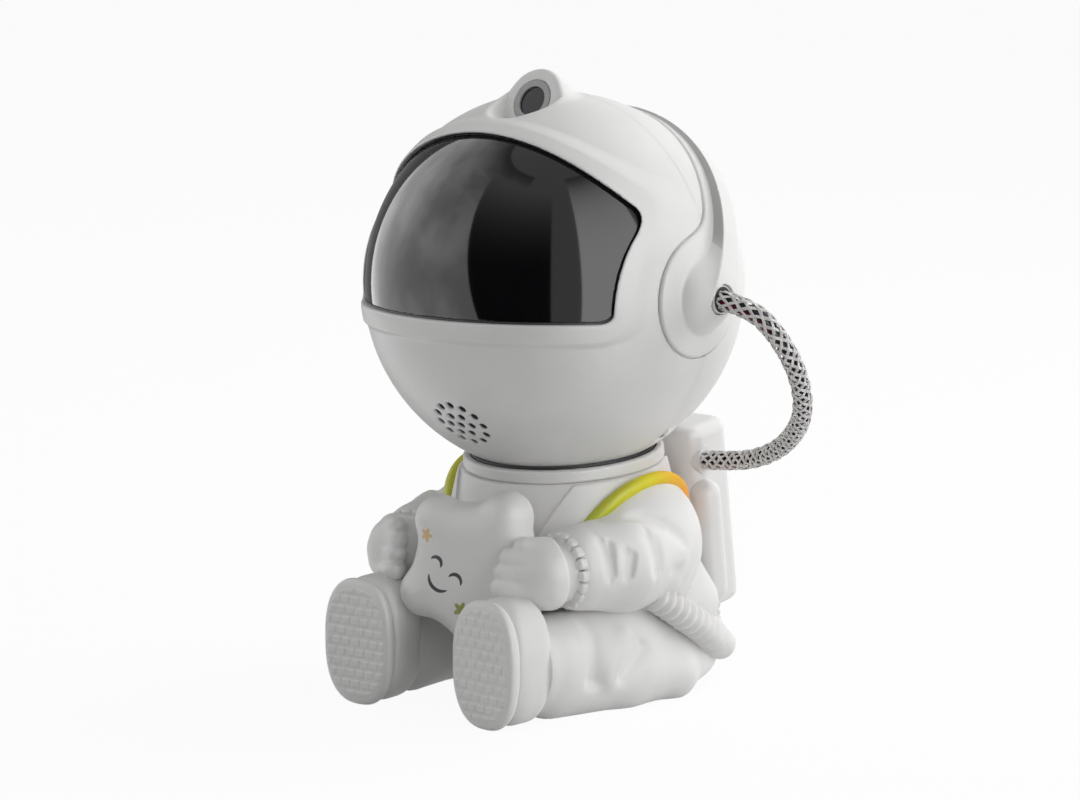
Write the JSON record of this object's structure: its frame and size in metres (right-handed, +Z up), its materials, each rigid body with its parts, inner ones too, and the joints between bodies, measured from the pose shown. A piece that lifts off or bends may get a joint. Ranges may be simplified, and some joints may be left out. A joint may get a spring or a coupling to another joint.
{
  "type": "star projector",
  "caption": "Seated toy space traveller whose ball helmet throws a nebula through its visor and stars through a crown lens; the head swivels and tilts on a magnetic neck.",
  "frame": {"origin": "on the resting surface, on the underside of the base pad, below the centre of the helmet ball", "axes": "+Z up, -Y the way the figure faces, +X towards the figure's left hand"},
  "size_m": [0.1532, 0.1309, 0.1954],
  "materials": {
    "white_shell": "satin white moulded plastic",
    "suit_white": "satin white moulded plastic with sculpted folds",
    "visor_smoke": "glossy smoked acrylic",
    "black_rubber": "matt black rubber",
    "lens_ring": "satin grey ring",
    "clear_lens": "clear polished acrylic",
    "dark_lens": "dark coated glass",
    "board_green": "solder-masked circuit board",
    "aluminium": "bare aluminium",
    "steel": "plain steel",
    "brass": "turned brass",
    "black_plastic": "black moulded plastic",
    "nebula_film": "rippled clear plastic",
    "gear_white": "natural acetal",
    "trim_yellow": "yellow to orange gloss band",
    "star_white": "satin white with a small print",
    "button_grey": "satin pale grey",
    "braid": "open braid of white and dark strands",
    "magnet": "nickel-plated magnet"
  },
  "bodies": {
    "head": {"helmet_front_shell": "white_shell", "helmet_rear_shell": "white_shell", "helmet_screws": "steel", "visor": "visor_smoke", "visor_seal": "black_rubber", "ear_band": "white_shell", "lens_bezel": "lens_ring", "star_lens": "dark_lens", "laser_module": "brass", "speaker": "black_plastic", "optics_plate": "black_plastic", "condenser_lens": "clear_lens", "led_board": "aluminium", "led_heat_sink": "aluminium", "lens_barrel": "black_plastic", "projector_lens": "clear_lens", "wheel_axle": "steel", "drive_motor": "steel", "head_circuit_board": "board_green", "head_steel_plate": "steel"},
    "nebula_wheel": {"nebula_wheel": "nebula_film"},
    "motor_pinion": {"motor_pinion": "gear_white"},
    "neck_swivel": {"neck_friction_ring": "black_rubber", "ear_cable_bush": "black_rubber"},
    "nebula_button": {"nebula_button": "button_grey"},
    "star_button": {"star_button": "button_grey"},
    "sound_button": {"sound_button": "button_grey"},
    "body": {"neck_cup": "suit_white", "neck_magnet": "magnet", "torso_shell": "suit_white", "base_cover": "white_shell", "base_screws": "steel", "base_pad": "black_rubber", "toy_star": "star_white", "left_leg": "suit_white", "right_leg": "suit_white", "left_boot": "suit_white", "right_boot": "suit_white", "left_sole": "suit_white", "right_sole": "suit_white", "left_strap": "suit_white", "right_strap": "suit_white", "left_shoulder_trim": "trim_yellow", "right_shoulder_trim": "trim_yellow", "left_sleeve": "suit_white", "right_sleeve": "suit_white", "left_cuff": "suit_white", "right_cuff": "suit_white", "left_hand": "suit_white", "right_hand": "suit_white", "pack_shell": "white_shell", "pack_cover": "white_shell", "cover_screws": "steel", "left_tank": "white_shell", "right_tank": "white_shell", "button_board": "board_green", "power_socket": "steel", "pack_cable_bush": "black_rubber", "braided_cable": "braid", "ribbed_hose": "suit_white"}
  },
  "joints": [
    {"name": "head_swivel", "type": "hinge", "parent": "body", "child": "neck_swivel", "pos_m": [0, 0, 0.1285], "axis": [0, -0.0872, 0.9962], "range_deg": [-40, 50], "deforming": ["braided_cable"]},
    {"name": "head_tilt", "type": "hinge", "parent": "neck_swivel", "child": "head", "pos_m": [0, 0, 0.1285], "axis": [1, 0, 0], "range_deg": [-25, 20]},
    {"name": "nebula_spin", "type": "hinge", "parent": "head", "child": "nebula_wheel", "pos_m": [0, 0.00342, 0.1379], "axis": [0, -0.9397, 0.342], "continuous": true},
    {"name": "pinion_spin", "type": "hinge", "parent": "head", "child": "motor_pinion", "pos_m": [-0.024, 0.00342, 0.1379], "axis": [0, -0.9397, 0.342], "continuous": true},
    {"name": "nebula_button_press", "type": "slide", "parent": "body", "child": "nebula_button", "axis": [0, -0.9903, -0.1392], "range_m": [0, 0.0008], "stiffness_N_per_m": 600, "springref_m": -0.0006},
    {"name": "star_button_press", "type": "slide", "parent": "body", "child": "star_button", "axis": [0, -0.9903, -0.1392], "range_m": [0, 0.0008], "stiffness_N_per_m": 600, "springref_m": -0.0006},
    {"name": "sound_button_press", "type": "slide", "parent": "body", "child": "sound_button", "axis": [0, -0.9903, -0.1392], "range_m": [0, 0.0008], "stiffness_N_per_m": 600, "springref_m": -0.0006}
  ],
  "couplings": [
    {"joint": "pinion_spin", "follows": "nebula_spin", "ratio": -4}
  ]
}
